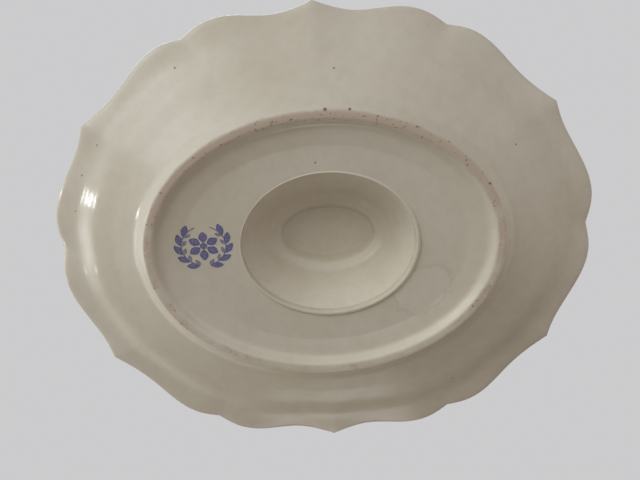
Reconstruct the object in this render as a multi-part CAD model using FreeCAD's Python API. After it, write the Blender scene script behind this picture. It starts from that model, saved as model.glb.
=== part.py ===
import FreeCAD, Part
import math
import os

V = FreeCAD.Vector

# A glazed earthenware sauce bowl on its attached stand.  The stand is an oval dish with a scalloped
# rim and a foot ring.  A hollow foot stands over the oval opening in its middle and carries the bowl,
# which has a pouring lip at each end and a loop handle on each side.  The pieces are luted: a thin
# layer of slip lies in every joint.  Millimetres, +Z up, the foot ring rests on z = 0, +X along the
# long axis.

# Stand, overall
stand_length = 250.0
stand_width = 207.0
rim_height = 30.0
rim_edge = 3.2
clay_wall = 4.0

# Stand, from the rim inwards
flange_width = 10.9
flange_fall = 3.3
shoulder_width = 7.6
shoulder_fall = 5.5

# Foot ring under the stand
ring_length = 161.0
ring_width = 121.0
ring_height = 6.0
ring_flare = 4.6
ring_land = 3.6
cove_width = 9.0
base_height = 4.2

# Oval opening in the stand, and the bead of slip round its lower edge
opening_length = 74.6
opening_width = 60.0
bead_width = 1.7
bead_height = 0.9

# Where the bowl was set down on the stand, measured from the middle of the stand
bowl_offset_x = 1.8
bowl_offset_y = -0.8

# Hollow foot
foot_height = 22.5
foot_wall = 4.2
foot_seat_gap = 0.5
throat_length = 44.0
throat_width = 25.6

# Bowl
bowl_height = 98.0
bowl_lip_rise = 14.0
bowl_length = 190.0
bowl_body_length = 165.0
bowl_body_width = 95.0
bowl_wall = 3.8
bowl_floor = 4.6
bowl_lip_spread = 0.19

# Handles: their ends and their outermost point, as shares of the way up the bowl's side
handle_top_share = 0.865
handle_bottom_share = 0.36
handle_middle_share = 0.71
handle_reach = 21.0
handle_broad = 9.0
handle_thick = 5.6

# Slip in the joints
slip = 0.8
slip_fillet = 1.6

# Printed mark on the underside, between the bead of the opening and the cove of the foot ring
mark_bead_gap = 3.5
mark_cove_gap = 1.4
mark_y = -2.7
mark_film = 0.15
flower_petals = 6
leaves_per_spray = 5

# The rim of one quarter of the stand, as shares of half the length and half the width: an end lobe,
# a corner lobe and a side lobe.  The side lobes meet in an ogee point, the others in notches.
end_lobe = [(0.983, 0.0), (1.0, 0.114), (0.955, 0.289), (0.873, 0.474), (0.855, 0.540)]
corner_lobe = [(0.855, 0.540), (0.775, 0.608), (0.700, 0.692),
               (0.621, 0.792), (0.543, 0.852), (0.464, 0.874)]
side_lobe = [(0.464, 0.874), (0.395, 0.929), (0.310, 0.956), (0.142, 0.952), (0.0, 1.0)]
quarter_lobes = [end_lobe, corner_lobe, side_lobe]
points_per_lobe = 9

# The mean oval of the rim, which the lobes stand out from and dip below
mean_length_share = 0.975
mean_width_share = 0.955

# How the lobes die away inwards: how many degrees they blur over, and how much of the blurred outline
# and of the sharp lobes is left at the inner edge of the flange and of the shoulder
lobe_blur = 12.0
flange_outline = 1.0
flange_lobes = 0.3
shoulder_outline = 0.9
shoulder_lobes = 0.15

# The bowl's side from its base up: how high, and how far out towards the ends and the sides, each as
# a share of the way from the base to the rim
bowl_profile = [(0.0, 0.0, 0.0), (0.06, 0.28, 0.32), (0.15, 0.51, 0.59), (0.30, 0.71, 0.78),
                (0.51, 0.86, 0.90), (0.73, 0.955, 0.975), (1.0, 1.0, 1.0), (1.08, 1.02, 1.02)]

# The hollow foot's side from the stand up: how high, and how far in towards the throat
foot_profile = [(0.0, 0.0), (0.35, 0.30), (0.72, 0.62), (1.0, 1.0)]

# Levels and places that follow from the sizes above
floor_top = base_height + clay_wall
foot_bottom = floor_top + slip
foot_top = foot_bottom + foot_height
bowl_bottom = foot_top + slip
bowl_side_height = bowl_height - bowl_lip_rise
handle_top = bowl_bottom + (bowl_side_height - bowl_bottom) * handle_top_share
handle_bottom = bowl_bottom + (bowl_side_height - bowl_bottom) * handle_bottom_share
handle_middle = bowl_bottom + (bowl_side_height - bowl_bottom) * handle_middle_share
mark_near = opening_length / 2 + bead_width - bowl_offset_x + mark_bead_gap
mark_far = ring_length / 2 - ring_flare - ring_land - cove_width - mark_cove_gap
mark_radius = (mark_far - mark_near) / 2
mark_x = -(mark_near + mark_far) / 2


def oval_radius(half_x, half_y, angle):
    """Distance from the middle of an oval to its edge, in the direction of angle."""
    return half_x * half_y / math.hypot(half_y * math.cos(angle), half_x * math.sin(angle))


def spline_edge(points):
    curve = Part.BSplineCurve()
    curve.interpolate(Points=points)
    return curve.toShape()


def closed_spline_wire(points):
    curve = Part.BSplineCurve()
    curve.interpolate(Points=points, PeriodicFlag=True)
    return Part.Wire([curve.toShape()])


def oval_wire(half_x, half_y, z, x=0.0, y=0.0):
    """A true oval at height z, with its long axis along whichever half is longer."""
    middle = V(x, y, z)
    if half_x >= half_y:
        oval = Part.Ellipse(V(x + half_x, y, z), V(x, y + half_y, z), middle)
    else:
        oval = Part.Ellipse(V(x, y + half_y, z), V(x - half_x, y, z), middle)
    return Part.Wire([oval.toShape()])


def rim_lobes():
    """The twelve lobes of the rim, anticlockwise from +X, each as points on its curve."""
    quarter = []
    for lobe in quarter_lobes:
        corners = [V(x * stand_length / 2, y * stand_width / 2, 0) for x, y in lobe]
        quarter.append(spline_edge(corners).discretize(points_per_lobe))
    mirrored = [[V(-p.x, p.y, 0) for p in reversed(lobe)] for lobe in reversed(quarter)]
    upper = quarter + mirrored
    lower = [[V(-p.x, -p.y, 0) for p in lobe] for lobe in upper]
    return upper + lower


def mean_radius(inset, angle):
    half_x = stand_length / 2 * mean_length_share
    half_y = stand_width / 2 * mean_width_share
    return oval_radius(half_x - inset, half_y - inset, angle)


def relief(p):
    """How far a point of the rim stands out from the mean oval."""
    return math.hypot(p.x, p.y) - mean_radius(0.0, math.atan2(p.y, p.x))


def blurred_relief(lobes, angle):
    """The relief of the rim in a direction, averaged with its neighbourhood."""
    total = weight = 0.0
    for lobe in lobes:
        for p, q in zip(lobe, lobe[1:]):
            span = abs(math.remainder(math.atan2(q.y, q.x) - math.atan2(p.y, p.x), 2 * math.pi))
            off = math.remainder(math.atan2(p.y + q.y, p.x + q.x) - angle, 2 * math.pi)
            share = span * math.exp(-(off / math.radians(lobe_blur)) ** 2)
            total += share * (relief(p) + relief(q)) / 2
            weight += share
    return total / weight


def stand_ring(inset, outline_share, lobe_share, z):
    """A closed line round the stand at height z, inset from the rim, with the lobes blurred and faded."""
    lobes = rim_lobes()
    edges = []
    for lobe in lobes:
        points = []
        for p in lobe:
            angle = math.atan2(p.y, p.x)
            blurred = blurred_relief(lobes, angle)
            stands_out = outline_share * blurred + lobe_share * (relief(p) - blurred)
            radius = mean_radius(inset, angle) + stands_out
            points.append(V(radius * math.cos(angle), radius * math.sin(angle), z))
        edges.append(spline_edge(points))
    return Part.Wire(edges)


def foot_ring_line(inset, z):
    """An oval line round the foot ring, cut at the same angles as the lobes of the rim."""
    edges = []
    for lobe in rim_lobes():
        points = []
        for p in lobe:
            angle = math.atan2(p.y, p.x)
            radius = oval_radius(ring_length / 2 - inset, ring_width / 2 - inset, angle)
            points.append(V(radius * math.cos(angle), radius * math.sin(angle), z))
        edges.append(spline_edge(points))
    return Part.Wire(edges)


def make_stand():
    edge_bottom = rim_height - rim_edge
    flange_z = edge_bottom - flange_fall
    shoulder_z = flange_z - shoulder_fall
    shoulder_inset = flange_width + shoulder_width
    underside = [
        foot_ring_line(ring_flare, 0.0),
        foot_ring_line(0.0, ring_height),
        stand_ring(shoulder_inset, shoulder_outline, shoulder_lobes, shoulder_z),
        stand_ring(flange_width, flange_outline, flange_lobes, flange_z),
        stand_ring(rim_edge * 0.3, 1.0, 1.0, edge_bottom),
        stand_ring(0.0, 1.0, 1.0, edge_bottom + rim_edge / 2),
        stand_ring(rim_edge * 0.3, 1.0, 1.0, rim_height),
    ]
    body = Part.makeLoft(underside, True, True)
    well = [
        foot_ring_line(0.0, floor_top),
        foot_ring_line(-clay_wall, ring_height + clay_wall),
        stand_ring(shoulder_inset + 1.0, shoulder_outline, shoulder_lobes, shoulder_z + clay_wall),
        stand_ring(flange_width + 1.0, flange_outline, flange_lobes, flange_z + clay_wall),
        stand_ring(rim_edge * 0.7, 1.0, 1.0, rim_height),
    ]
    body = body.cut(Part.makeLoft(well, True, True))
    land_x = ring_length / 2 - ring_flare - ring_land
    land_y = ring_width / 2 - ring_flare - ring_land
    cove = [
        oval_wire(land_x, land_y, 0.0),
        oval_wire(land_x - cove_width * 0.3, land_y - cove_width * 0.3, base_height * 0.65),
        oval_wire(land_x - cove_width, land_y - cove_width, base_height),
    ]
    body = body.cut(Part.makeLoft(cove, True, True))
    opening = oval_wire(opening_length / 2, opening_width / 2, 0.0, bowl_offset_x, bowl_offset_y)
    return body.cut(Part.Face(opening).extrude(V(0, 0, rim_height)))


def foot_oval(share, grow, z):
    """An oval of the hollow foot's inner wall: share 0 at the stand, 1 at the throat."""
    bottom_x = opening_length / 2 + foot_seat_gap
    bottom_y = opening_width / 2 + foot_seat_gap
    half_x = bottom_x + (throat_length / 2 - bottom_x) * share
    half_y = bottom_y + (throat_width / 2 - bottom_y) * share
    return oval_wire(half_x + grow, half_y + grow, z)


def foot_skin(grow):
    """The solid inside the foot's wall, or inside its outer skin when grown by the wall."""
    sections = [foot_oval(share, grow, foot_bottom + foot_height * level) for level, share in foot_profile]
    return Part.makeLoft(sections, True)


def make_hollow_foot():
    return foot_skin(foot_wall).cut(foot_skin(0.0))


def make_foot_slip_joint():
    """The layer of slip under the hollow foot, with the fillet that is squeezed out round it."""
    layer = [
        foot_oval(0.0, foot_wall + slip_fillet, floor_top),
        foot_oval(0.0, foot_wall + slip_fillet * 0.4, floor_top + slip),
        foot_oval(0.0, foot_wall * 0.5, foot_bottom + slip_fillet),
    ]
    ring = Part.makeLoft(layer, True, True)
    hole = Part.Face(foot_oval(0.0, 0.0, 0.0)).extrude(V(0, 0, bowl_height))
    return ring.cut(hole).cut(foot_skin(foot_wall))


def bowl_section(level, half_x, half_y, z):
    """One level line of the bowl: an oval that is drawn out into a pouring lip at both ends."""
    lip = (bowl_length - bowl_body_length) / 2 * max(0.0, (level - 0.35) / 0.65) ** 1.5
    count = 32
    points = []
    for i in range(count):
        angle = 2 * math.pi * i / count
        off_end = math.asin(min(1.0, abs(math.sin(angle))))
        radius = oval_radius(half_x, half_y, angle) + lip * math.exp(-(off_end / bowl_lip_spread) ** 2)
        points.append(V(radius * math.cos(angle), radius * math.sin(angle), z))
    return closed_spline_wire(points)


def bowl_skin(grow, lift):
    """The bowl as a full solid, grown sideways, with its floor lifted and the lift dying out upwards."""
    base_x = throat_length / 2 + foot_wall
    base_y = throat_width / 2 + foot_wall
    rise = bowl_height - bowl_bottom
    sections = []
    for level, share_x, share_y in bowl_profile:
        half_x = base_x + (bowl_body_length / 2 - base_x) * share_x + grow
        half_y = base_y + (bowl_body_width / 2 - base_y) * share_y + grow
        z = bowl_bottom + rise * level + lift * max(0.0, 1 - level) ** 3
        sections.append(bowl_section(level, half_x, half_y, z))
    return Part.makeLoft(sections, True)


def above_rim():
    """Everything above the bowl's rim, which sweeps up from the sides to the two lips."""
    reach = bowl_length / 2
    points = []
    for i in range(-6, 7):
        share = abs(i) / 6
        points.append(V(reach * i / 6, -stand_width, bowl_side_height + bowl_lip_rise * share ** 2.4))
    edge = spline_edge(points)
    clear = reach * 1.2
    top = bowl_height * 2
    corners = [points[-1], V(clear, -stand_width, bowl_height), V(clear, -stand_width, top),
               V(-clear, -stand_width, top), V(-clear, -stand_width, bowl_height), points[0]]
    sides = Part.makePolygon(corners).Edges
    return Part.Face(Part.Wire([edge] + sides)).extrude(V(0, 2 * stand_width, 0))


def make_bowl():
    clay = bowl_skin(0.0, 0.0).cut(bowl_skin(-bowl_wall, bowl_floor))
    return clay.cut(above_rim())


def make_bowl_slip_joint():
    """The layer of slip between the hollow foot and the bowl, with a soft bulge outwards."""
    layer = [
        foot_oval(1.0, foot_wall, foot_top),
        foot_oval(1.0, foot_wall + slip * 0.5, foot_top + slip / 2),
        foot_oval(1.0, foot_wall, bowl_bottom),
    ]
    hole = Part.Face(foot_oval(1.0, 0.0, 0.0)).extrude(V(0, 0, bowl_height))
    return Part.makeLoft(layer, True, True).cut(hole)


def make_underside_bead():
    """The bead of slip that is wiped round the lower edge of the opening."""
    half_x = opening_length / 2
    half_y = opening_width / 2
    low = base_height - bead_height
    ring = Part.makeLoft([
        oval_wire(half_x + bead_width * 0.65, half_y + bead_width * 0.65, low),
        oval_wire(half_x + bead_width * 0.9, half_y + bead_width * 0.9, low + bead_height * 0.4),
        oval_wire(half_x + bead_width, half_y + bead_width, base_height),
    ], True, True)
    return ring.cut(Part.Face(oval_wire(half_x, half_y, 0.0)).extrude(V(0, 0, rim_height)))


def wall_out(height):
    """How far out the bowl's side is at a height, across its middle."""
    base_y = throat_width / 2 + foot_wall
    level = (height - bowl_bottom) / (bowl_height - bowl_bottom)
    for (low, _, out_low), (high, _, out_high) in zip(bowl_profile, bowl_profile[1:]):
        if low <= level <= high:
            share = out_low + (out_high - out_low) * (level - low) / (high - low)
    return base_y + (bowl_body_width / 2 - base_y) * share


def handle_sweep(grow):
    """The handle with both its ends run into the bowl's wall: two arcs that meet upright, outside."""
    top = V(0, wall_out(handle_top) - bowl_wall / 2, handle_top)
    bottom = V(0, wall_out(handle_bottom) - bowl_wall / 2, handle_bottom)
    outer = V(0, wall_out(handle_middle) + handle_reach - handle_thick / 2, handle_middle)
    arcs = []
    for start, end in ((top, outer), (outer, bottom)):
        near = start if start is not outer else end
        reach = outer.y - near.y
        radius = (reach ** 2 + (near.z - outer.z) ** 2) / (2 * reach)
        centre = V(0, outer.y - radius, outer.z)
        half = math.atan2(near.z - centre.z, near.y - centre.y) / 2
        middle = centre + V(0, radius * math.cos(half), radius * math.sin(half))
        arcs.append(Part.Arc(start, middle, end).toShape())
    path = Part.Wire(arcs)
    tangent = arcs[0].tangentAt(arcs[0].FirstParameter)
    across = V(1, 0, 0)
    inwards = tangent.cross(across)
    half_broad = across * (handle_broad / 2 + grow)
    half_thick = inwards * (handle_thick / 2 + grow)
    section = Part.Ellipse(top + half_broad, top + half_thick, top)
    return path.makePipeShell([Part.Wire([section.toShape()])], True, True)


def turned(shape, angle):
    return shape.rotated(V(0, 0, 0), V(0, 0, 1), angle)


def make_handle(angle):
    """A handle on the back of the bowl, or on its front when turned half round."""
    return turned(handle_sweep(0.0), angle).cut(bowl_skin(slip, 0.0))


def make_handle_slip_joints(angle):
    """The two pads of slip between one handle and the bowl."""
    return turned(handle_sweep(slip), angle).common(bowl_skin(slip, 0.0)).cut(bowl_skin(0.0, 0.0))


def leaf(length, breadth, reach, turn, slant):
    """A flat leaf with two rounded sides that meet in points, set at reach from the mark's middle."""
    tip = V(length / 2, 0, 0)
    tail = V(-length / 2, 0, 0)
    sides = [Part.Arc(tail, V(0, breadth / 2, 0), tip), Part.Arc(tip, V(0, -breadth / 2, 0), tail)]
    face = Part.Face(Part.Wire([side.toShape() for side in sides]))
    face.rotate(V(0, 0, 0), V(0, 0, 1), slant)
    angle = math.radians(turn)
    face.translate(V(reach * math.cos(angle), reach * math.sin(angle), 0))
    return face


def make_printed_mark():
    """A flower between two leafy sprays: a thin film under the stand."""
    eye = mark_radius * 0.12
    flats = [Part.Face(oval_wire(eye, eye, 0.0))]
    for i in range(flower_petals):
        turn = 30 + 360.0 / flower_petals * i
        flats.append(leaf(mark_radius * 0.36, mark_radius * 0.26, mark_radius * 0.34, turn, turn))
    for side in (-1, 1):
        for i in range(leaves_per_spray):
            turn = 90 + side * (28 + 27 * i)
            slant = turn + side * 62
            flats.append(leaf(mark_radius * 0.40, mark_radius * 0.17, mark_radius * 0.83, turn, slant))
    return Part.makeCompound([flat.extrude(V(0, 0, mark_film)) for flat in flats])


def save(name, shape):
    shape.exportStep("parts/" + name + ".step")
    print(name, shape.isValid(), len(shape.Solids), round(shape.Volume, 1))


def at_bowl(shape):
    """Moves a piece that is drawn round the bowl's own middle to where the bowl stands."""
    return shape.translated(V(bowl_offset_x, bowl_offset_y, 0))


def main():
    os.makedirs("parts", exist_ok=True)
    save("stand", make_stand())
    save("underside_bead", at_bowl(make_underside_bead()))
    save("foot_slip_joint", at_bowl(make_foot_slip_joint()))
    save("hollow_foot", at_bowl(make_hollow_foot()))
    save("bowl_slip_joint", at_bowl(make_bowl_slip_joint()))
    save("bowl", at_bowl(make_bowl()))
    for side, angle in (("back", 0), ("front", 180)):
        save("handle_" + side, at_bowl(make_handle(angle)))
        save("handle_" + side + "_slip_joints", at_bowl(make_handle_slip_joints(angle)))
    save("printed_mark", make_printed_mark().translated(V(mark_x, mark_y, base_height - mark_film)))


main()
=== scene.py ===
import math
import bpy
import numpy as np
from mathutils import Matrix, Vector
from mathutils.kdtree import KDTree


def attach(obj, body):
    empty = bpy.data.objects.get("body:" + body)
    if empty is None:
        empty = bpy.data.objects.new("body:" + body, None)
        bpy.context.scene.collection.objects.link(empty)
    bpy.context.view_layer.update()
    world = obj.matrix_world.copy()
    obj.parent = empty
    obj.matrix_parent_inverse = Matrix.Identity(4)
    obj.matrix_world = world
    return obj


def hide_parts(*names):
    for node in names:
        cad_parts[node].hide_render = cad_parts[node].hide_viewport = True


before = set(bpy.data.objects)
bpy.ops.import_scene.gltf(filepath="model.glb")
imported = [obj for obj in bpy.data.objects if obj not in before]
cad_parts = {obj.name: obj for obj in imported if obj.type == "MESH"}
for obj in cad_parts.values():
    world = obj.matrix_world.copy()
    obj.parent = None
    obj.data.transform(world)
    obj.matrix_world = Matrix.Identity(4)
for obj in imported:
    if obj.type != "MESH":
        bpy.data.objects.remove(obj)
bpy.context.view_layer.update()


# The stand: an oval dish pressed from pale clay over a mould, with a scalloped rim of twelve lobes.
# Its foot ring was turned and the whole was dipped in ivory glaze.  The crest of the ring was wiped
# before firing, so bare clay shows there, worn and a little dirty.
mm = 0.001
half_length = 125.0
half_width = 103.5
mean_x = half_length * 0.975
mean_y = half_width * 0.955
lobe_steps = 24
rim_steps = 12 * lobe_steps
opening_x, opening_y = 37.3, 30.0
base_level, floor_level = 4.2, 8.2
bowl_middle = Vector((1.8, -0.8, 0.0))
offset_reach = 22.0

end_lobe = [(0.983, 0.0), (1.0, 0.114), (0.955, 0.289), (0.873, 0.474), (0.855, 0.540)]
corner_lobe = [(0.855, 0.540), (0.775, 0.608), (0.700, 0.692),
               (0.621, 0.792), (0.543, 0.852), (0.464, 0.874)]
side_lobe = [(0.464, 0.874), (0.395, 0.929), (0.310, 0.956), (0.142, 0.952), (0.0, 1.0)]

# the section from the opening outwards under the dish and back over it: half the length of each
# corner's oval, its height, and how round the corner is
stand_corners = [
    (37.3, 4.2, 0.7), (61.0, 4.3, 10.0), (69.8, 3.1, 4.0), (72.2, 0.0, 2.0), (75.8, 0.0, 2.2),
    (78.3, 3.2, 4.0), (81.4, 6.8, 7.0), (92.0, 12.5, 20.0), (101.5, 16.9, 30.0),
    (110.6, 23.3, 22.0), (119.6, 26.3, 6.0), (121.7, 27.3, 1.4), (121.8, 29.3, 1.6),
    (120.3, 30.1, 1.0), (118.6, 29.7, 2.0), (110.0, 27.4, 4.0), (102.4, 21.9, 5.0), (90.0, 13.2, 20.0),
    (84.0, 9.7, 5.0), (78.5, 8.2, 6.0), (37.3, 8.2, 0.3),
]


def smooth_line(points, count):
    """Points spread evenly along the smoothest line through the given points."""
    known = np.array(points, float)
    along = np.concatenate(([0], np.cumsum(np.linalg.norm(np.diff(known, axis=0), axis=1))))
    gap = np.diff(along)
    last = len(known) - 1
    left = np.eye(last + 1)
    right = np.zeros(known.shape)
    for i in range(1, last):
        left[i, i - 1:i + 2] = gap[i - 1], 2 * (gap[i - 1] + gap[i]), gap[i]
        right[i] = 6 * ((known[i + 1] - known[i]) / gap[i] - (known[i] - known[i - 1]) / gap[i - 1])
    bend = np.linalg.solve(left, right)
    line = []
    for t in np.linspace(0, along[-1], count):
        i = min(int(np.searchsorted(along, t, side="right")) - 1, last - 1)
        i = max(i, 0)
        a, b = (along[i + 1] - t) / gap[i], (t - along[i]) / gap[i]
        pull = ((a ** 3 - a) * bend[i] + (b ** 3 - b) * bend[i + 1]) * gap[i] ** 2 / 6
        line.append(a * known[i] + b * known[i + 1] + pull)
    return np.array(line)


def rounded(corners, longest_run):
    """A closed section with its corners rounded and its long runs divided evenly."""
    line = []
    for i, (x, z, radius) in enumerate(corners):
        corner = Vector((x, z))
        back = Vector(corners[i - 1][:2]) - corner
        on = Vector(corners[(i + 1) % len(corners)][:2]) - corner
        turn = math.pi - back.angle(on)
        cut = min(radius * math.tan(turn / 2), back.length * 0.48, on.length * 0.48)
        parts = max(2, math.ceil(turn / 0.22))
        for t in (k / parts for k in range(parts + 1)):
            line.append(corner + back.normalized() * cut * (1 - t) ** 2 + on.normalized() * cut * t ** 2)
    divided = []
    for start, end in zip(line, line[1:] + line[:1]):
        parts = max(1, math.ceil((end - start).length / longest_run))
        divided += [start.lerp(end, k / parts) for k in range(parts)]
    return [(p.x, p.y) for p in divided]


def oval_radius(half_x, half_y, angle):
    """Distance from the middle of an oval to its edge, in the direction of angle."""
    return half_x * half_y / math.hypot(half_y * math.cos(angle), half_x * math.sin(angle))


def spin_section(name, section, steps, closed=True):
    """Draws a section point by point, and spins it once round the upright axis."""
    bpy.ops.object.select_all(action="DESELECT")
    bpy.ops.mesh.primitive_plane_add(size=0.001, location=(section[0][0] * mm, 0, section[0][1] * mm))
    piece = bpy.context.object
    piece.name = piece.data.name = name
    bpy.ops.object.mode_set(mode="EDIT")
    bpy.ops.mesh.merge(type="CENTER")
    for (x0, z0), (x1, z1) in zip(section, section[1:]):
        move = ((x1 - x0) * mm, 0, (z1 - z0) * mm)
        bpy.ops.mesh.extrude_vertices_move(TRANSFORM_OT_translate={"value": move})
    if closed:
        bpy.ops.object.mode_set(mode="OBJECT")
        piece.data.vertices[0].select = True
        piece.data.vertices[len(section) - 1].select = True
        bpy.ops.object.mode_set(mode="EDIT")
        bpy.ops.mesh.edge_face_add()
    bpy.ops.mesh.select_all(action="SELECT")
    bpy.ops.mesh.spin(steps=steps, angle=2 * math.pi, center=(0, 0, 0), axis=(0, 0, 1))
    bpy.ops.mesh.select_all(action="SELECT")
    bpy.ops.mesh.remove_doubles(threshold=0.000004)
    bpy.ops.object.mode_set(mode="OBJECT")
    bpy.ops.object.transform_apply(location=True, rotation=True, scale=True)
    return piece


def shape_spun(piece, section, steps, place):
    """Moves each vertex of a spun piece to place(point of the section, step of the spin), in mm."""
    tree = KDTree(len(section))
    for index, (x, z) in enumerate(section):
        tree.insert((x * mm, 0, z * mm), index)
    tree.balance()
    for v in piece.data.vertices:
        index = tree.find((math.hypot(v.co.x, v.co.y), 0, v.co.z))[1]
        step = round(math.atan2(v.co.y, v.co.x) / (2 * math.pi) * steps) % steps
        v.co = Vector(place(index, step)) * mm


def finish_mesh(piece, smooth_degrees=50):
    """Turns all faces outwards and shades them smooth."""
    bpy.ops.object.select_all(action="DESELECT")
    piece.select_set(True)
    bpy.context.view_layer.objects.active = piece
    bpy.ops.object.mode_set(mode="EDIT")
    bpy.ops.mesh.select_all(action="SELECT")
    bpy.ops.mesh.normals_make_consistent(inside=False)
    bpy.ops.object.mode_set(mode="OBJECT")
    bpy.ops.object.shade_smooth_by_angle(angle=math.radians(smooth_degrees))


def unevenness(x, y):
    """How far the pressed clay stands off its true surface here, in mm."""
    return (0.15 * math.sin(x / 19 + 0.7) * math.cos(y / 15 - 0.4)
            + 0.08 * math.sin((x + y) / 11 + 1.3) + 0.05 * math.sin((x - 1.7 * y) / 8.3))


quarter = []
for lobe in (end_lobe, corner_lobe, side_lobe):
    quarter.append(smooth_line([(x * half_length, y * half_width) for x, y in lobe], lobe_steps + 1))
quarter = np.concatenate([part[:-1] for part in quarter] + [quarter[-1][-1:]])
half_rim = np.concatenate([quarter[:-1], quarter[::-1] * (-1, 1)])[:-1]
rim_line = np.concatenate([half_rim, -half_rim])
rim_angles = [math.atan2(y, x) for x, y in rim_line]
rim_reliefs = [math.hypot(x, y) - oval_radius(mean_x, mean_y, math.atan2(y, x)) for x, y in rim_line]
lobe_blur = math.radians(12)


def blurred_relief(angle):
    """The relief of the rim in a direction, averaged with its neighbourhood."""
    total = weight = 0.0
    for k in range(rim_steps):
        span = abs(math.remainder(rim_angles[k] - rim_angles[k - 1], 2 * math.pi))
        off = math.remainder(rim_angles[k] - angle, 2 * math.pi)
        share = span * math.exp(-(off / lobe_blur) ** 2)
        total += share * rim_reliefs[k]
        weight += share
    return total / weight


soft_reliefs = [blurred_relief(angle) for angle in rim_angles]

longest_run = 2.2
stand_section = rounded(stand_corners, longest_run)

# from the opening outwards: half the length and width of each oval, then how far the dish follows the
# rim's soft outline, and how far it follows the sharp lobes
oval_sizes = [(opening_x, opening_y), (63.3, 43.3), (80.5, 60.5), (103.4, 80.3), (121.9, 98.8)]
outline_shares = [(80.5, 0.0), (103.4, 0.9), (111.0, 1.0)]
lobe_shares = [(80.5, 0.0), (103.4, 0.15), (111.0, 0.3), (120.5, 1.0)]


def read_off(pairs, x):
    """The second value of the pairs, at x between their first values."""
    return float(np.interp(x, *zip(*pairs)))


def stand_place(index, step):
    """Where a point of the stand's section lies at a step round the rim."""
    x, z = stand_section[index]
    angle = rim_angles[step]
    sharp = rim_reliefs[step] - soft_reliefs[step]
    relief = read_off(outline_shares, x) * soft_reliefs[step] + read_off(lobe_shares, x) * sharp
    offset = 1 - min(1.0, max(0.0, (x - opening_x) / offset_reach))
    radius = oval_radius(x, read_off(oval_sizes, x), angle) + relief
    px = radius * math.cos(angle) + bowl_middle.x * offset
    py = radius * math.sin(angle) + bowl_middle.y * offset
    rest = min(1.0, max(0.0, (z - 0.2) / 4))
    return px, py, z + rest * unevenness(px, py)


stand = spin_section("stand_glazed", stand_section, rim_steps)
shape_spun(stand, stand_section, rim_steps, stand_place)
finish_mesh(stand)


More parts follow.
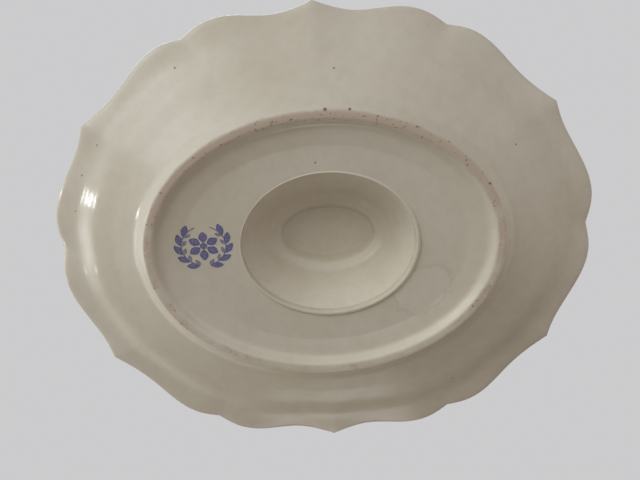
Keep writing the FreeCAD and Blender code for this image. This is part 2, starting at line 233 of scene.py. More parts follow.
def ivory_glaze(name, light, dark, speck_share):
    """Glossy ivory glaze: a slow change of tone, faint clouds, iron specks and a soft swell."""
    material = bpy.data.materials.new(name)
    material.use_nodes = True
    nodes, links = material.node_tree.nodes, material.node_tree.links
    shader = nodes["Principled BSDF"]
    place = nodes.new("ShaderNodeTexCoord").outputs["Object"]

    tone = nodes.new("ShaderNodeTexNoise")
    tone.inputs["Scale"].default_value = 16
    tone.inputs["Detail"].default_value = 3
    links.new(place, tone.inputs["Vector"])
    tone_ramp = nodes.new("ShaderNodeValToRGB")
    tone_ramp.color_ramp.elements[0].position = 0.32
    tone_ramp.color_ramp.elements[0].color = (*dark, 1)
    tone_ramp.color_ramp.elements[1].position = 0.68
    tone_ramp.color_ramp.elements[1].color = (*light, 1)
    links.new(tone.outputs["Fac"], tone_ramp.inputs["Fac"])

    clouds = nodes.new("ShaderNodeTexNoise")
    clouds.inputs["Scale"].default_value = 190
    clouds.inputs["Detail"].default_value = 6
    clouds.inputs["Roughness"].default_value = 0.65
    links.new(place, clouds.inputs["Vector"])
    cloud_ramp = nodes.new("ShaderNodeValToRGB")
    cloud_ramp.color_ramp.elements[0].position = 0.30
    cloud_ramp.color_ramp.elements[0].color = (0.93, 0.92, 0.90, 1)
    cloud_ramp.color_ramp.elements[1].position = 0.60
    cloud_ramp.color_ramp.elements[1].color = (1, 1, 1, 1)
    links.new(clouds.outputs["Fac"], cloud_ramp.inputs["Fac"])
    clouded = nodes.new("ShaderNodeMix")
    clouded.data_type, clouded.blend_type = "RGBA", "MULTIPLY"
    clouded.inputs["Factor"].default_value = 0.8
    links.new(tone_ramp.outputs["Color"], clouded.inputs["A"])
    links.new(cloud_ramp.outputs["Color"], clouded.inputs["B"])

    cells = nodes.new("ShaderNodeTexVoronoi")
    cells.inputs["Scale"].default_value = 75
    links.new(place, cells.inputs["Vector"])
    dot = nodes.new("ShaderNodeMapRange")
    dot.inputs["From Min"].default_value = 0.012
    dot.inputs["From Max"].default_value = 0.026
    dot.inputs["To Min"].default_value = 1
    dot.inputs["To Max"].default_value = 0
    links.new(cells.outputs["Distance"], dot.inputs["Value"])
    lottery = nodes.new("ShaderNodeSeparateColor")
    links.new(cells.outputs["Color"], lottery.inputs["Color"])
    chosen = nodes.new("ShaderNodeMath")
    chosen.operation = "LESS_THAN"
    chosen.inputs[1].default_value = speck_share
    links.new(lottery.outputs["Red"], chosen.inputs[0])
    speck = nodes.new("ShaderNodeMath")
    speck.operation = "MULTIPLY"
    links.new(dot.outputs["Result"], speck.inputs[0])
    links.new(chosen.outputs["Value"], speck.inputs[1])
    specked = nodes.new("ShaderNodeMix")
    specked.data_type = "RGBA"
    specked.inputs["B"].default_value = (0.16, 0.10, 0.05, 1)
    links.new(speck.outputs["Value"], specked.inputs["Factor"])
    links.new(clouded.outputs["Result"], specked.inputs["A"])
    links.new(specked.outputs["Result"], shader.inputs["Base Color"])

    smear = nodes.new("ShaderNodeMapRange")
    smear.inputs["To Min"].default_value = 0.10
    smear.inputs["To Max"].default_value = 0.20
    links.new(tone.outputs["Fac"], smear.inputs["Value"])
    links.new(smear.outputs["Result"], shader.inputs["Roughness"])
    shader.inputs["IOR"].default_value = 1.52

    swell = nodes.new("ShaderNodeTexNoise")
    swell.inputs["Scale"].default_value = 55
    swell.inputs["Detail"].default_value = 2
    links.new(place, swell.inputs["Vector"])
    soft_bump = nodes.new("ShaderNodeBump")
    soft_bump.inputs["Strength"].default_value = 0.6
    soft_bump.inputs["Distance"].default_value = 0.0006
    links.new(swell.outputs["Fac"], soft_bump.inputs["Height"])
    peel = nodes.new("ShaderNodeTexNoise")
    peel.inputs["Scale"].default_value = 700
    peel.inputs["Detail"].default_value = 2
    links.new(place, peel.inputs["Vector"])
    fine_bump = nodes.new("ShaderNodeBump")
    fine_bump.inputs["Strength"].default_value = 0.25
    fine_bump.inputs["Distance"].default_value = 0.00006
    links.new(peel.outputs["Fac"], fine_bump.inputs["Height"])
    links.new(soft_bump.outputs["Normal"], fine_bump.inputs["Normal"])
    links.new(fine_bump.outputs["Normal"], shader.inputs["Normal"])
    return material


def lay_over(material, mask, colour, roughness):
    """Covers the glaze with another finish where the mask is 1."""
    nodes, links = material.node_tree.nodes, material.node_tree.links
    shader = nodes["Principled BSDF"]
    for socket, kind in (("Base Color", "RGBA"), ("Roughness", "FLOAT")):
        mix = nodes.new("ShaderNodeMix")
        mix.data_type = kind
        under = shader.inputs[socket].links[0].from_socket
        if kind == "RGBA":
            first, second, result = mix.inputs[6], mix.inputs[7], mix.outputs[2]
            second.default_value = (*colour, 1)
        else:
            first, second, result = mix.inputs[2], mix.inputs[3], mix.outputs[0]
            second.default_value = roughness
        links.new(mask, mix.inputs[0])
        links.new(under, first)
        links.new(result, shader.inputs[socket])


stand_glaze = ivory_glaze("stand_ivory_glaze", (0.80, 0.757, 0.665), (0.745, 0.692, 0.59), 0.05)
nodes, links = stand_glaze.node_tree.nodes, stand_glaze.node_tree.links
place = nodes.new("ShaderNodeTexCoord").outputs["Object"]

# the patch where a paper label was soaked off and left a dull film on the glaze
patch_place = nodes.new("ShaderNodeMapping")
patch_place.vector_type = "TEXTURE"
patch_place.inputs["Location"].default_value = (0.0415, 0.0215, 0.0042)
patch_place.inputs["Rotation"].default_value = (0, 0, math.radians(-35))
patch_place.inputs["Scale"].default_value = (0.0135, 0.0095, 0.004)
links.new(place, patch_place.inputs["Vector"])
patch_reach = nodes.new("ShaderNodeVectorMath")
patch_reach.operation = "LENGTH"
links.new(patch_place.outputs["Vector"], patch_reach.inputs[0])
patch_edge = nodes.new("ShaderNodeTexNoise")
patch_edge.inputs["Scale"].default_value = 240
patch_edge.inputs["Detail"].default_value = 5
patch_edge.inputs["Roughness"].default_value = 0.7
links.new(place, patch_edge.inputs["Vector"])
patch_ragged = nodes.new("ShaderNodeMath")
patch_ragged.operation = "ADD"
links.new(patch_reach.outputs["Value"], patch_ragged.inputs[0])
links.new(patch_edge.outputs["Fac"], patch_ragged.inputs[1])
patch = nodes.new("ShaderNodeMapRange")
patch.inputs["From Min"].default_value = 1.42
patch.inputs["From Max"].default_value = 1.52
patch.inputs["To Min"].default_value = 0.25
patch.inputs["To Max"].default_value = 0
links.new(patch_ragged.outputs["Value"], patch.inputs["Value"])
lay_over(stand_glaze, patch.outputs["Result"], (0.86, 0.83, 0.75), 0.42)
patch_rim = nodes.new("ShaderNodeMapRange")
patch_rim.inputs["From Min"].default_value = 1.38
patch_rim.inputs["From Max"].default_value = 1.58
links.new(patch_ragged.outputs["Value"], patch_rim.inputs["Value"])
patch_line = nodes.new("ShaderNodeValToRGB")
patch_line.color_ramp.elements[0].color = (0, 0, 0, 1)
patch_line.color_ramp.elements[1].color = (0, 0, 0, 1)
patch_line.color_ramp.elements.new(0.5).color = (0.30, 0.30, 0.30, 1)
links.new(patch_rim.outputs["Result"], patch_line.inputs["Fac"])
lay_over(stand_glaze, patch_line.outputs["Color"], (0.52, 0.47, 0.38), 0.35)

# the bare crest of the foot ring, wiped wider in front, with dark grains of kiln sand in it
height = nodes.new("ShaderNodeSeparateXYZ")
links.new(place, height.inputs["Vector"])
crest_edge = nodes.new("ShaderNodeTexNoise")
crest_edge.inputs["Scale"].default_value = 120
crest_edge.inputs["Detail"].default_value = 6
crest_edge.inputs["Roughness"].default_value = 0.7
links.new(place, crest_edge.inputs["Vector"])
crest_ragged = nodes.new("ShaderNodeMath")
crest_ragged.operation = "MULTIPLY_ADD"
crest_ragged.inputs[1].default_value = 0.0022
links.new(crest_edge.outputs["Fac"], crest_ragged.inputs[0])
crest_lean = nodes.new("ShaderNodeMath")
crest_lean.operation = "MULTIPLY_ADD"
crest_lean.inputs[1].default_value = 0.006
links.new(height.outputs["Y"], crest_lean.inputs[0])
links.new(height.outputs["Z"], crest_lean.inputs[2])
links.new(crest_lean.outputs["Value"], crest_ragged.inputs[2])
crest = nodes.new("ShaderNodeMapRange")
crest.inputs["From Min"].default_value = 0.00112
crest.inputs["From Max"].default_value = 0.00140
crest.inputs["To Min"].default_value = 0.75
crest.inputs["To Max"].default_value = 0
links.new(crest_ragged.outputs["Value"], crest.inputs["Value"])
lay_over(stand_glaze, crest.outputs["Result"], (0.64, 0.52, 0.43), 0.65)
grains = nodes.new("ShaderNodeTexNoise")
grains.inputs["Scale"].default_value = 620
grains.inputs["Detail"].default_value = 3
links.new(place, grains.inputs["Vector"])
grain_dots = nodes.new("ShaderNodeMapRange")
grain_dots.inputs["From Min"].default_value = 0.62
grain_dots.inputs["From Max"].default_value = 0.68
links.new(grains.outputs["Fac"], grain_dots.inputs["Value"])
crest_grains = nodes.new("ShaderNodeMath")
crest_grains.operation = "MULTIPLY"
links.new(grain_dots.outputs["Result"], crest_grains.inputs[0])
links.new(crest.outputs["Result"], crest_grains.inputs[1])
lay_over(stand_glaze, crest_grains.outputs["Value"], (0.16, 0.11, 0.08), 0.7)

# the larger specks of iron that came up through the glaze
footprint = nodes.new("ShaderNodeVectorMath")
footprint.operation = "MULTIPLY"
footprint.inputs[1].default_value = (1, 1, 0)
links.new(place, footprint.inputs[0])
iron_specks = [(3.0, -56.0, 1.0), (12.8, -55.6, 0.8), (-60.5, -77.8, 0.7), (7.7, -73.0, 0.6),
               (-2.0, -35.2, 0.5), (-113.0, -18.0, 0.5), (-108.0, -34.0, 0.6),
               (-99.0, -47.0, 0.5), (58.0, 71.0, 0.5), (84.0, -38.0, 0.5)]
for spot_x, spot_y, spot_size in iron_specks:
    spot_gap = nodes.new("ShaderNodeVectorMath")
    spot_gap.operation = "DISTANCE"
    spot_gap.inputs[1].default_value = (spot_x * mm, spot_y * mm, 0)
    links.new(footprint.outputs["Vector"], spot_gap.inputs[0])
    spot = nodes.new("ShaderNodeMapRange")
    spot.inputs["From Min"].default_value = spot_size * 0.4 * mm
    spot.inputs["From Max"].default_value = spot_size * mm
    spot.inputs["To Min"].default_value = 0.85
    spot.inputs["To Max"].default_value = 0
    links.new(spot_gap.outputs["Value"], spot.inputs["Value"])
    lay_over(stand_glaze, spot.outputs["Result"], (0.13, 0.085, 0.05), 0.25)

stand.data.materials.append(stand_glaze)
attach(stand, "root")
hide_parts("stand")


# The bead round the opening: slip that was squeezed out of the joint and wiped round with a finger
# from below, so it is a little thicker on one side.  It lies under the same glaze.
bead_steps = 160
bead_section = [(37.3, 4.2), (37.3, 3.75), (37.45, 3.45), (37.8, 3.28), (38.3, 3.30), (38.75, 3.5),
                (39.05, 3.85), (39.15, 4.2)]


def bead_place(index, step):
    """Where a point of the bead lies: thin at the front left, full at the back right."""
    x, z = bead_section[index]
    angle = 2 * math.pi * step / bead_steps
    fullness = 0.70 + 0.46 * math.cos(angle - 0.8) + 0.06 * math.sin(3 * angle + 1.0)
    out = (x - opening_x) * fullness
    radius = oval_radius(opening_x + out, opening_y + out, angle)
    px, py = radius * math.cos(angle) + bowl_middle.x, radius * math.sin(angle) + bowl_middle.y
    sunk = 0.05 if z == base_level else 0
    return px, py, base_level + (z - base_level) * fullness + unevenness(px, py) + sunk


bead = spin_section("underside_bead_wiped", bead_section, bead_steps)
shape_spun(bead, bead_section, bead_steps, bead_place)
finish_mesh(bead)
slip_glaze = ivory_glaze("slip_under_glaze", (0.81, 0.76, 0.66), (0.76, 0.70, 0.59), 0.06)
bead.data.materials.append(slip_glaze)
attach(bead, "root")
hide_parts("underside_bead")


# The hollow foot: a cone of clay pressed in its own mould.  It is open below, and narrows to a long
# oval under the bowl.  Inside, where the mould's plug ended, the wall turns in over a soft shelf.
foot_steps = 160
foot_bottom, foot_rise = 9.0, 22.5
foot_x, foot_y, foot_wall = 37.8, 30.5, 4.2
narrowing_x, narrowing_y = 15.8, 17.7
outer_side = smooth_line([(0, 0), (0.35, 0.30), (0.72, 0.62), (1, 1)], 24)
inner_side = smooth_line([(0, 0), (0.30, 0.27), (0.62, 0.52), (0.78, 0.66), (0.86, 0.80),
                          (0.93, 0.95), (1, 1)], 40)
foot_section = [(foot_x - narrowing_x * share, foot_bottom + foot_rise * level)
                for level, share in inner_side]
foot_section += [(foot_x + foot_wall - narrowing_x * share, foot_bottom + foot_rise * level)
                 for level, share in outer_side[::-1]]


def foot_place(index, step):
    """Where a point of the foot's section lies on the oval cone."""
    x, z = foot_section[index]
    grow = 0 if index < len(inner_side) else foot_wall
    half_x = x - grow
    half_y = foot_y - narrowing_y * (foot_x - half_x) / narrowing_x
    angle = 2 * math.pi * step / foot_steps
    radius = oval_radius(half_x + grow, half_y + grow, angle)
    radius += 0.12 * math.sin(3 * angle + z / 6) * math.sin(math.pi * (z - foot_bottom) / foot_rise)
    return radius * math.cos(angle) + bowl_middle.x, radius * math.sin(angle) + bowl_middle.y, z


hollow_foot = spin_section("hollow_foot_pressed", foot_section, foot_steps)
shape_spun(hollow_foot, foot_section, foot_steps, foot_place)
finish_mesh(hollow_foot)
foot_glaze = ivory_glaze("foot_ivory_glaze", (0.86, 0.82, 0.73), (0.81, 0.76, 0.66), 0.04)
hollow_foot.data.materials.append(foot_glaze)
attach(hollow_foot, "root")
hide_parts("hollow_foot")


# The slip joint under the hollow foot: a layer of wet slip that was squeezed out into a fillet round
# the foot, and smoothed with a wet brush.
fillet_rise = 2.4
foot_slip_section = [(37.8, 8.2), (40.0, 8.2), (42.0, 8.2), (43.6, 8.2), (43.1, 8.5), (42.6, 9.0),
                     (42.2, 9.7), (41.9, 10.6), (40.6, 10.4), (39.2, 9.0), (37.8, 9.0)]


def foot_slip_place(index, step):
    """Where a point of the slip lies, with the fillet a little wavy."""
    x, z = foot_slip_section[index]
    angle = 2 * math.pi * step / foot_steps
    out = x - foot_x
    if z > floor_level and x > foot_x + foot_wall:
        out += 0.25 * math.sin(5 * angle) * (1 - (z - floor_level) / fillet_rise)
    radius = oval_radius(foot_x + out, foot_y + out, angle)
    return radius * math.cos(angle) + bowl_middle.x, radius * math.sin(angle) + bowl_middle.y, z


foot_slip = spin_section("foot_slip_joint_smoothed", foot_slip_section, foot_steps)
shape_spun(foot_slip, foot_slip_section, foot_steps, foot_slip_place)
finish_mesh(foot_slip)
foot_slip.data.materials.append(slip_glaze)
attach(foot_slip, "root")
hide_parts("foot_slip_joint")


# The slip joint between the hollow foot and the bowl: its inner edge shows from below as a fine
# raised line round the narrow oval, and it bulges a little outside.
throat_x, throat_difference = 22.0, 9.2
bowl_slip_section = [(22.7, 30.2), (22.1, 30.75), (21.75, 31.2), (21.5, 31.6), (21.4, 31.95), (21.3, 32.3),
                     (26.2, 32.3), (26.6, 31.9), (26.2, 31.5), (23.0, 31.5)]


def bowl_slip_place(index, step):
    """Where a point of the slip lies, with its inner edge a little uneven."""
    x, z = bowl_slip_section[index]
    angle = 2 * math.pi * step / foot_steps
    radius = oval_radius(x, x - throat_difference, angle)
    if x < throat_x:
        radius += 0.15 * math.sin(2 * angle + 1) + 0.06 * math.sin(5 * angle)
    return radius * math.cos(angle) + bowl_middle.x, radius * math.sin(angle) + bowl_middle.y, z


bowl_slip = spin_section("bowl_slip_joint_edge", bowl_slip_section, foot_steps)
shape_spun(bowl_slip, bowl_slip_section, foot_steps, bowl_slip_place)
finish_mesh(bowl_slip)
bowl_slip.data.materials.append(slip_glaze)
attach(bowl_slip, "root")
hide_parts("bowl_slip_joint")


# The bowl: a boat-shaped bowl pressed in a two-part mould, drawn out into a pouring lip at each end.
# Its rim was sponged round while the clay was soft, and it is glazed ivory inside and out.
bowl_steps = 240
bowl_bottom, bowl_height, side_height = 32.3, 98.0, 84.0
bowl_wall, floor_lift = 3.8, 4.6
bowl_half_length = 95.0
oval_base, oval_spread = (26.2, 17.0), (56.3, 30.5)
lip_reach, lip_spread, lip_start = 12.5, 0.19, 0.35
sweep_power, rim_round = 2.4, 1.5
rim_arc = 10
bowl_side = smooth_line([(0.0, 0.0, 0.0), (0.06, 0.28, 0.32), (0.15, 0.51, 0.59), (0.30, 0.71, 0.78),
                         (0.51, 0.86, 0.90), (0.73, 0.955, 0.975), (1.0, 1.0, 1.0), (1.08, 1.02, 1.02)], 120)
floor_shares = [0.0, 0.2, 0.4, 0.6, 0.8, 0.92]
wall_shares = [(k / 34) ** 1.5 for k in range(35)]


def bowl_point(level, angle, grow):
    """Where the bowl's skin is at this level and direction, from its own middle."""
    share_x = float(np.interp(level, bowl_side[:, 0], bowl_side[:, 1]))
    share_y = float(np.interp(level, bowl_side[:, 0], bowl_side[:, 2]))
    lip = lip_reach * max(0.0, (level - lip_start) / (1 - lip_start)) ** 1.5
    off_end = math.asin(min(1.0, abs(math.sin(angle))))
    half_x = oval_base[0] + oval_spread[0] * share_x + grow
    half_y = oval_base[1] + oval_spread[1] * share_y + grow
    radius = oval_radius(half_x, half_y, angle) + lip * math.exp(-(off_end / lip_spread) ** 2)
    return radius * math.cos(angle), radius * math.sin(angle)


def rim_level(angle, grow, lift):
    """The level at which the bowl's skin reaches the swept rim in this direction."""
    level = 0.9
    for _ in range(12):
        reach = min(1.0, abs(bowl_point(level, angle, grow)[0]) / bowl_half_length)
        top = side_height + (bowl_height - side_height) * reach ** sweep_power
        level = (top - bowl_bottom - lift * max(0.0, 1 - level) ** 3) / (bowl_height - bowl_bottom)
    return level


def skin_height(level, lift):
    """The height of the bowl's skin at a level, with the inner floor lifted."""
    return bowl_bottom + (bowl_height - bowl_bottom) * level + lift * max(0.0, 1 - level) ** 3


# the section before it is drawn out: outer floor, outer wall, rim, inner wall, inner floor
bowl_rings = ([("floor", 0, s) for s in floor_shares] + [("wall", 0, s) for s in wall_shares]
              + [("rim", 0, k / rim_arc) for k in range(1, rim_arc)]
              + [("wall", 1, s) for s in wall_shares[::-1]] + [("floor", 1, s) for s in floor_shares[::-1]])
bowl_angles = [2 * math.pi * k / bowl_steps for k in range(bowl_steps)]
rim_levels = [(rim_level(a, 0, 0), rim_level(a, -bowl_wall, floor_lift)) for a in bowl_angles]


def bowl_place(index, step):
    """Where a point of the bowl's section lies at a step round the bowl."""
    part, inner, share = bowl_rings[index]
    angle = 2 * math.pi * step / bowl_steps
    grow, lift = (-bowl_wall, floor_lift) if inner else (0, 0)
    if part == "floor":
        x, y = bowl_point(0, angle, grow)
        x, y, z = x * share, y * share, skin_height(0, lift)
    elif part == "wall":
        level = rim_levels[step][inner] * share
        x, y = bowl_point(level, angle, grow)
        z = skin_height(level, lift) - rim_round * share ** 8
    else:
        turn = math.pi * share
        blend = (1 - math.cos(turn)) / 2
        outer = bowl_point(rim_levels[step][0], angle, 0)
        inside = bowl_point(rim_levels[step][1], angle, -bowl_wall)
        x = outer[0] + (inside[0] - outer[0]) * blend
        y = outer[1] + (inside[1] - outer[1]) * blend
        outer_top = skin_height(rim_levels[step][0], 0)
        inner_top = skin_height(rim_levels[step][1], floor_lift)
        z = outer_top + (inner_top - outer_top) * blend - rim_round + rim_round * math.sin(turn)
    return x + bowl_middle.x, y + bowl_middle.y, z


bowl_section = []
for index, (part, inner, share) in enumerate(bowl_rings):
    grow, lift = (-bowl_wall, floor_lift) if inner else (0, 0)
    if part == "floor":
        bowl_section.append((bowl_point(0, 0, grow)[0] * share, skin_height(0, lift)))
    elif part == "wall":
        top = skin_height(share, lift) - rim_round * share ** 8
        bowl_section.append((bowl_point(share, 0, grow)[0], top))
    else:
        turn = math.pi * share
        top = bowl_height - rim_round + rim_round * math.sin(turn)
        bowl_section.append((bowl_half_length - bowl_wall * (1 - math.cos(turn)) / 2, top))

bowl = spin_section("bowl_boat_shaped", bowl_section, bowl_steps, closed=False)
shape_spun(bowl, bowl_section, bowl_steps, bowl_place)
finish_mesh(bowl)
# the bowl's glaze is painted a little lighter than the stand's: painted light, standing for the brighter
# light on the bowl's floor seen up through the hollow foot
bowl_glaze_painted_lighter = ivory_glaze("bowl_ivory_glaze_painted_lighter", (0.85, 0.81, 0.72), (0.80, 0.755, 0.66), 0.04)
bowl.data.materials.append(bowl_glaze_painted_lighter)
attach(bowl, "root")
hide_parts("bowl")


# The handles: a rolled bar of clay, oval across, bent into a loop and luted to the bowl's side at its
# two ends, which were pressed out a little wider.  The back one is made first, the front one copied.
handle_round = 28
handle_parts = 56
bar_width, bar_depth = 4.5, 2.8
top_level, low_level, out_level = 77.0, 50.9, 69.0
end_sunk, bar_reach = 1.9, 18.2


def wall_out(height):
    """How far out the bowl's side is at a height, across its middle."""
    level = (height - bowl_bottom) / (bowl_height - bowl_bottom)
    share = float(np.interp(level, bowl_side[:, 0], bowl_side[:, 2]))
    return oval_base[1] + oval_spread[1] * share


handle_top = Vector((wall_out(top_level) - end_sunk, top_level))
handle_low = Vector((wall_out(low_level) - end_sunk, low_level))
handle_out = Vector((wall_out(out_level) + bar_reach, out_level))
arcs = []
for end in (handle_top, handle_low):
    reach, drop = handle_out.x - end.x, end.y - handle_out.y
    radius = (reach ** 2 + drop ** 2) / (2 * reach)
    arcs.append((radius, handle_out.x - radius, math.atan2(drop, end.x - handle_out.x + radius)))
(top_radius, top_centre, top_angle), (low_radius, low_centre, low_angle) = arcs
top_run, low_run = top_radius * top_angle, low_radius * -low_angle
handle_run = top_run + low_run


def handle_line(run):
    """The middle of the bar and its outward direction in the YZ plane, this far from its top end."""
    if run < top_run:
        radius, centre, angle = top_radius, top_centre, top_angle - run / top_radius
    else:
        radius, centre, angle = low_radius, low_centre, -(run - top_run) / low_radius
    out = Vector((math.cos(angle), math.sin(angle)))
    return Vector((centre, out_level)) + out * radius, out


bpy.ops.object.select_all(action="DESELECT")
bpy.ops.mesh.primitive_circle_add(vertices=handle_round, radius=1 * mm, fill_type="NGON", location=(0, 0, 0))
handle_back = bpy.context.object
handle_back.name = handle_back.data.name = "handle_back_loop"
bpy.ops.object.mode_set(mode="EDIT")
bpy.ops.mesh.select_all(action="SELECT")
for _ in range(handle_parts):
    bpy.ops.mesh.extrude_region_move(TRANSFORM_OT_translate={"value": (0, 0, handle_run / handle_parts * mm)})
bpy.ops.object.mode_set(mode="OBJECT")
for v in handle_back.data.vertices:
    run = v.co.z / mm
    across, thick = v.co.x / mm, v.co.y / mm
    middle, out = handle_line(min(run, handle_run))
    from_end = min(run, handle_run - run)
    flare = 1 + 0.30 * math.exp(-((from_end - 2.0) / 3.0) ** 2)
    slim = 1 - 0.08 * math.sin(math.pi * run / handle_run)
    crown = 1 + 0.10 * (1 - across ** 2) * (thick > 0)
    side = bar_width * across * flare * slim
    depth = bar_depth * thick * (1 + (flare - 1) * 0.6) * slim * crown
    v.co = Vector((side, middle.x + out.x * depth, middle.y + out.y * depth)) * mm
handle_back.data.transform(Matrix.Translation(bowl_middle * mm))
finish_mesh(handle_back)
bpy.ops.object.duplicate(linked=False)
handle_front = bpy.context.object
handle_front.name = handle_front.data.name = "handle_front_loop"
about = Matrix.Translation(bowl_middle * mm)
handle_front.data.transform(about @ Matrix.Rotation(math.pi, 4, "Z") @ about.inverted())
handle_glaze = ivory_glaze("handle_ivory_glaze", (0.80, 0.75, 0.65), (0.75, 0.69, 0.58), 0.05)
for handle, node in ((handle_back, "handle_back"), (handle_front, "handle_front")):
    handle.data.materials.append(handle_glaze)
    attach(handle, "root")
    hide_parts(node)


# The slip pads under the handles' ends: each is a low collar of slip, smoothed with a finger between
# the handle and the bowl's side.
def collar(name, run, lean):
    """A collar round the handle this far from its top end, drawn in towards the bowl's side."""
    bpy.ops.object.select_all(action="DESELECT")
    bpy.ops.mesh.primitive_circle_add(vertices=40, radius=1 * mm, fill_type="NGON", location=(0, 0, 0))
    pad = bpy.context.object
    pad.name = pad.data.name = name
    bpy.ops.object.mode_set(mode="EDIT")
    bpy.ops.mesh.select_all(action="SELECT")
    for _ in range(7):
        bpy.ops.mesh.extrude_region_move(TRANSFORM_OT_translate={"value": (0, 0, 1 * mm)})
    bpy.ops.object.mode_set(mode="OBJECT")
    for v in pad.data.vertices:
        ring = round(v.co.z / mm)
        spread = [0.9, 1.9, 1.85, 1.35, 0.95, 0.65, 0.45, 0.1][ring]
        rise = [-0.4, -0.4, 0.15, 0.35, 0.75, 1.25, 1.8, 2.0][ring]
        angle = math.atan2(v.co.y, v.co.x)
        middle, out = handle_line(run)
        off = bar_depth * 1.15 + spread
        side = (bar_width * 1.25 + spread) * math.cos(angle)
        point = middle + out * off * math.sin(angle)
        wall = wall_out(point.y) - 0.06 * side ** 2 / bar_width
        if ring < 4:
            point.x = wall + rise
        else:
            point += lean * (wall - middle.x + rise)
        v.co = Vector((side, point.x, point.y)) * mm
    pad.data.transform(Matrix.Translation(bowl_middle * mm))
    finish_mesh(pad)
    return pad


pad_from_end = 2.4
pads = []
for name, run, sign in (("upper", pad_from_end, 1), ("lower", handle_run - pad_from_end, -1)):
    out = handle_line(run)[1]
    lean = Vector((out.y, -out.x)) * sign
    lean = lean / abs(lean.x) if abs(lean.x) > 0.2 else lean
    pads.append(collar("pad_" + name, run, lean))
bpy.ops.object.select_all(action="DESELECT")
for pad in pads:
    pad.select_set(True)
bpy.context.view_layer.objects.active = pads[0]
bpy.ops.object.join()
pads_back = bpy.context.object
pads_back.name = pads_back.data.name = "handle_back_slip_pads"
bpy.ops.object.duplicate(linked=False)
pads_front = bpy.context.object
pads_front.name = pads_front.data.name = "handle_front_slip_pads"
pads_front.data.transform(about @ Matrix.Rotation(math.pi, 4, "Z") @ about.inverted())
for pad, node in ((pads_back, "handle_back_slip_joints"), (pads_front, "handle_front_slip_joints")):
    pad.data.materials.append(slip_glaze)
    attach(pad, "root")
    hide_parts(node)


# The printed mark: a small cobalt flower between two leafy sprays, printed from a tissue on the
# unglazed underside, so the blue is soft-edged and mottled under the glaze.
mark_middle = Vector((-51.3, -2.7))
mark_radius = 11.2
mark_stretch = 1.14
ink_lift, ink_depth = 0.09, 0.15
base_edge, base_oval, cove_fall = 60.3, 1.46, 0.136
ink_name = "ink"
marks = []


def printed_leaf(length, breadth, reach, turn, slant, ink=1.0):
    """One leaf or petal of the print: a thin pointed oval with a soft edge."""
    bpy.ops.object.select_all(action="DESELECT")
    bpy.ops.mesh.primitive_circle_add(vertices=24, radius=1 * mm, fill_type="NGON", location=(0, 0, 0))
    leaf = bpy.context.object
    bpy.ops.object.mode_set(mode="EDIT")
    bpy.ops.mesh.select_all(action="SELECT")
    bpy.ops.mesh.inset(thickness=0.12 * mm, depth=0)
    bpy.ops.mesh.inset(thickness=0.22 * mm, depth=0)
    bpy.ops.mesh.select_all(action="SELECT")
    bpy.ops.mesh.extrude_region_move(TRANSFORM_OT_translate={"value": (0, 0, ink_depth * mm)})
    bpy.ops.object.mode_set(mode="OBJECT")
    attribute = leaf.data.attributes.new(ink_name, "FLOAT", "POINT")
    middle = Vector((reach * math.cos(turn), reach * math.sin(turn)))
    for v in leaf.data.vertices:
        far = v.co.to_2d().length / mm
        attribute.data[v.index].value = 0.25 if far > 0.95 else ink * (1.0 if far > 0.8 else 0.78)
        u, w = v.co.x / mm, v.co.y / mm
        w *= (1 - 0.55 * u * u)
        p = Vector((u * length / 2, w * breadth / 2))
        p.rotate(Matrix.Rotation(slant, 2))
        p = middle + p
        p = Vector((p.x * mark_stretch, p.y)) + mark_middle
        past_edge = max(0.0, math.hypot(p.x, base_oval * p.y) - base_edge)
        level = base_level - ink_lift + v.co.z / mm - cove_fall * past_edge
        v.co = Vector((p.x, p.y, level + unevenness(p.x, p.y))) * mm
    marks.append(leaf)


for i in range(6):
    turn = math.radians(30 + 60 * i)
    printed_leaf(mark_radius * 0.42, mark_radius * 0.30, mark_radius * 0.34, turn, turn)
printed_leaf(mark_radius * 0.26, mark_radius * 0.26, 0, 0, 0)
for side in (-1, 1):
    for i in range(5):
        turn = math.radians(90 + side * (28 + 27 * i))
        slant = turn + side * math.radians(62)
        printed_leaf(mark_radius * 0.46, mark_radius * 0.23, mark_radius * 0.85, turn, slant)
        slant = turn + side * math.radians(112)
        inward = turn - side * 0.13
        printed_leaf(mark_radius * 0.26, mark_radius * 0.13, mark_radius * 0.66, inward, slant, 0.8)
    for i in range(11):
        turn = math.radians(90 + side * (24 + 13 * i))
        printed_leaf(mark_radius * 0.20, 0.55, mark_radius * 0.75, turn, turn + math.pi / 2, 0.9)
bpy.ops.object.select_all(action="DESELECT")
for leaf in marks:
    leaf.select_set(True)
bpy.context.view_layer.objects.active = marks[0]
bpy.ops.object.join()
mark = bpy.context.object
mark.name = mark.data.name = "printed_mark_flower"
finish_mesh(mark)
cobalt = ivory_glaze("cobalt_print", (0.80, 0.757, 0.665), (0.745, 0.692, 0.59), 0.0)
nodes, links = cobalt.node_tree.nodes, cobalt.node_tree.links
ink = nodes.new("ShaderNodeAttribute")
ink.attribute_name = ink_name
grain = nodes.new("ShaderNodeTexNoise")
grain.inputs["Scale"].default_value = 1500
grain.inputs["Detail"].default_value = 4
links.new(nodes.new("ShaderNodeTexCoord").outputs["Object"], grain.inputs["Vector"])
grain_range = nodes.new("ShaderNodeMapRange")
grain_range.inputs["From Min"].default_value = 0.3
grain_range.inputs["From Max"].default_value = 0.55
grain_range.inputs["To Min"].default_value = 0.72
links.new(grain.outputs["Fac"], grain_range.inputs["Value"])
inked = nodes.new("ShaderNodeMath")
inked.operation = "MULTIPLY"
links.new(ink.outputs["Fac"], inked.inputs[0])
links.new(grain_range.outputs["Result"], inked.inputs[1])
lay_over(cobalt, inked.outputs["Value"], (0.02, 0.045, 0.34), 0.14)
mark.data.materials.append(cobalt)
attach(mark, "root")
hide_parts("printed_mark")


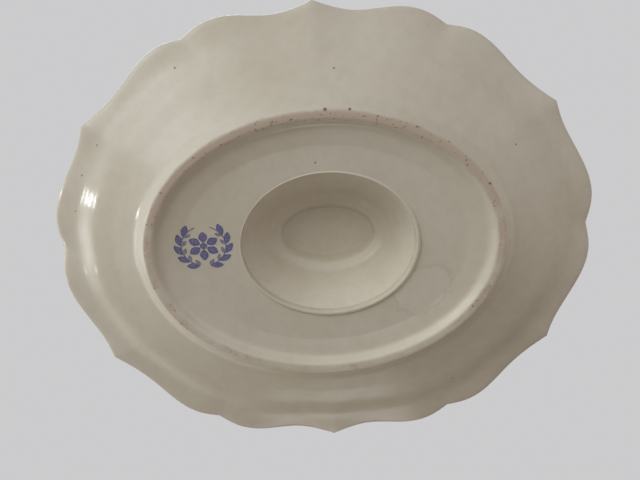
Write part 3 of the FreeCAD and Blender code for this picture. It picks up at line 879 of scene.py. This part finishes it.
# The stage: a plain pale table top that is seen from above only, and a plain pale room.  The room's
# light is a sum of soft glows, and each has its direction, how narrow it is, and its colour.
bpy.ops.object.select_all(action="DESELECT")
bpy.ops.mesh.primitive_plane_add(size=6, location=(0, 0, 0))
table = bpy.context.object
table.name = table.data.name = "table_top"
table_paint = bpy.data.materials.new("pale_table_paint")
table_paint.use_nodes = True
nodes, links = table_paint.node_tree.nodes, table_paint.node_tree.links
paint = nodes["Principled BSDF"]
paint.inputs["Base Color"].default_value = (0.80, 0.79, 0.77, 1)
paint.inputs["Roughness"].default_value = 0.6
below = nodes.new("ShaderNodeNewGeometry")
clear = nodes.new("ShaderNodeBsdfTransparent")
either = nodes.new("ShaderNodeMixShader")
links.new(below.outputs["Backfacing"], either.inputs["Fac"])
links.new(paint.outputs["BSDF"], either.inputs[1])
links.new(clear.outputs["BSDF"], either.inputs[2])
links.new(either.outputs["Shader"], nodes["Material Output"].inputs["Surface"])
table.data.materials.append(table_paint)
table.visible_diffuse = table.visible_glossy = table.visible_transmission = table.visible_shadow = False

room = bpy.data.worlds.new("pale_room")
bpy.context.scene.world = room
room.use_nodes = True
nodes, links = room.node_tree.nodes, room.node_tree.links
backdrop = nodes["Background"]
backdrop.inputs["Color"].default_value = (0.60, 0.60, 0.61, 1)
backdrop.inputs["Strength"].default_value = 1.0
air = nodes.new("ShaderNodeBackground")
facing = nodes.new("ShaderNodeVectorMath")
facing.operation = "NORMALIZE"
links.new(nodes.new("ShaderNodeTexCoord").outputs["Generated"], facing.inputs[0])
glow = None
for towards, spread, colour in (
        ((-0.375, -0.65, -0.66), 7, (1.12, 1.09, 0.88)), ((0.375, -0.65, -0.66), 7, (0.52, 0.53, 0.60)),
        ((0.75, 0.0, -0.66), 7, (0.36, 0.28, 0.22)), ((-0.75, 0.0, -0.66), 7, (0.24, 0.19, 0.19)),
        ((-0.70, -0.70, -0.15), 7, (0.96, 1.00, 1.08)), ((0.0, 1.0, -0.15), 7, (0.33, 0.22, 0.15)),
        ((-0.91, 0.0, 0.41), 7, (0.50, 0.54, 0.48)), ((-0.64, 0.64, 0.41), 7, (0.80, 0.76, 0.66)),
        ((0.91, 0.0, 0.41), 7, (0.76, 0.66, 0.50)), ((0.0, 0.91, 0.41), 7, (0.16, 0.18, 0.13)),
        ((-0.99, 0.10, 0.07), 40, (1.95, 2.00, 1.95)), ((-0.70, -0.58, -0.41), 40, (1.35, 1.50, 1.55)),
        ((0.0, 0.965, -0.26), 60, (1.60, 1.75, 1.65)), ((-0.2, -0.3, 0.93), 3, (0.95, 0.94, 0.92))):
    lean = nodes.new("ShaderNodeVectorMath")
    lean.operation = "DOT_PRODUCT"
    lean.inputs[1].default_value = Vector(towards).normalized()
    links.new(facing.outputs["Vector"], lean.inputs[0])
    ahead = nodes.new("ShaderNodeMath")
    ahead.operation = "MAXIMUM"
    ahead.inputs[1].default_value = 0
    links.new(lean.outputs["Value"], ahead.inputs[0])
    fall = nodes.new("ShaderNodeMath")
    fall.operation = "POWER"
    fall.inputs[1].default_value = spread
    links.new(ahead.outputs["Value"], fall.inputs[0])
    tint = nodes.new("ShaderNodeVectorMath")
    tint.operation = "MULTIPLY_ADD"
    tint.inputs[0].default_value = colour
    links.new(fall.outputs["Value"], tint.inputs[1])
    if glow:
        links.new(glow, tint.inputs[2])
    glow = tint.outputs["Vector"]
links.new(glow, air.inputs["Color"])
path = nodes.new("ShaderNodeLightPath")
seen = nodes.new("ShaderNodeMixShader")
links.new(path.outputs["Is Camera Ray"], seen.inputs["Fac"])
links.new(air.outputs["Background"], seen.inputs[1])
links.new(backdrop.outputs["Background"], seen.inputs[2])
links.new(seen.outputs["Shader"], nodes["World Output"].inputs["Surface"])

# The lights: three small panes of a window to the left, and a soft light overhead for the upper side.
# They stand below the table's level or well above it, so they leave no bright spot on the table.
for name, spot, size, energy, colour in (
        ("window_pane_upper", (-1.30, -0.19, -0.02), (0.10, 0.03), 0.40, (1.0, 0.99, 0.97)),
        ("window_pane_lower", (-1.30, -0.19, -0.17), (0.10, 0.03), 0.40, (1.0, 0.99, 0.97)),
        ("window_pane_side", (-1.26, 0.34, -0.07), (0.05, 0.06), 0.08, (1.0, 0.99, 0.97)),
        ("overhead", (-0.5, -0.7, 1.4), (1.0, 1.0), 6.0, (1.0, 0.98, 0.95))):
    lamp = bpy.data.lights.new(name, "AREA")
    lamp.shape = "RECTANGLE"
    lamp.size, lamp.size_y = size
    lamp.energy = energy
    lamp.color = colour
    holder = bpy.data.objects.new(name, lamp)
    bpy.context.scene.collection.objects.link(holder)
    holder.location = spot
    holder.rotation_euler = (Vector((0, 0, 0.02)) - Vector(spot)).to_track_quat("-Z", "Y").to_euler()
    holder.visible_camera = False

# The camera: close under the foot and a little in front of it, looking up at the underside.
lens = bpy.data.cameras.new("camera")
lens.lens, lens.sensor_width = 28.2, 36
lens.clip_start, lens.clip_end = 0.01, 20
camera = bpy.data.objects.new("camera", lens)
bpy.context.scene.collection.objects.link(camera)
right = Vector((0.99864, 0.05212, -0.00032))
up = Vector((0.05111, -0.97792, 0.20263))
away = Vector((-0.01025, 0.20237, 0.97926))
turned = Matrix((right, up, -away)).transposed().to_4x4()
camera.matrix_world = Matrix.Translation(Vector((0.42, -45.72, -203.85)) * mm) @ turned
bpy.context.scene.camera = camera
bpy.context.scene.view_settings.view_transform = "Standard"
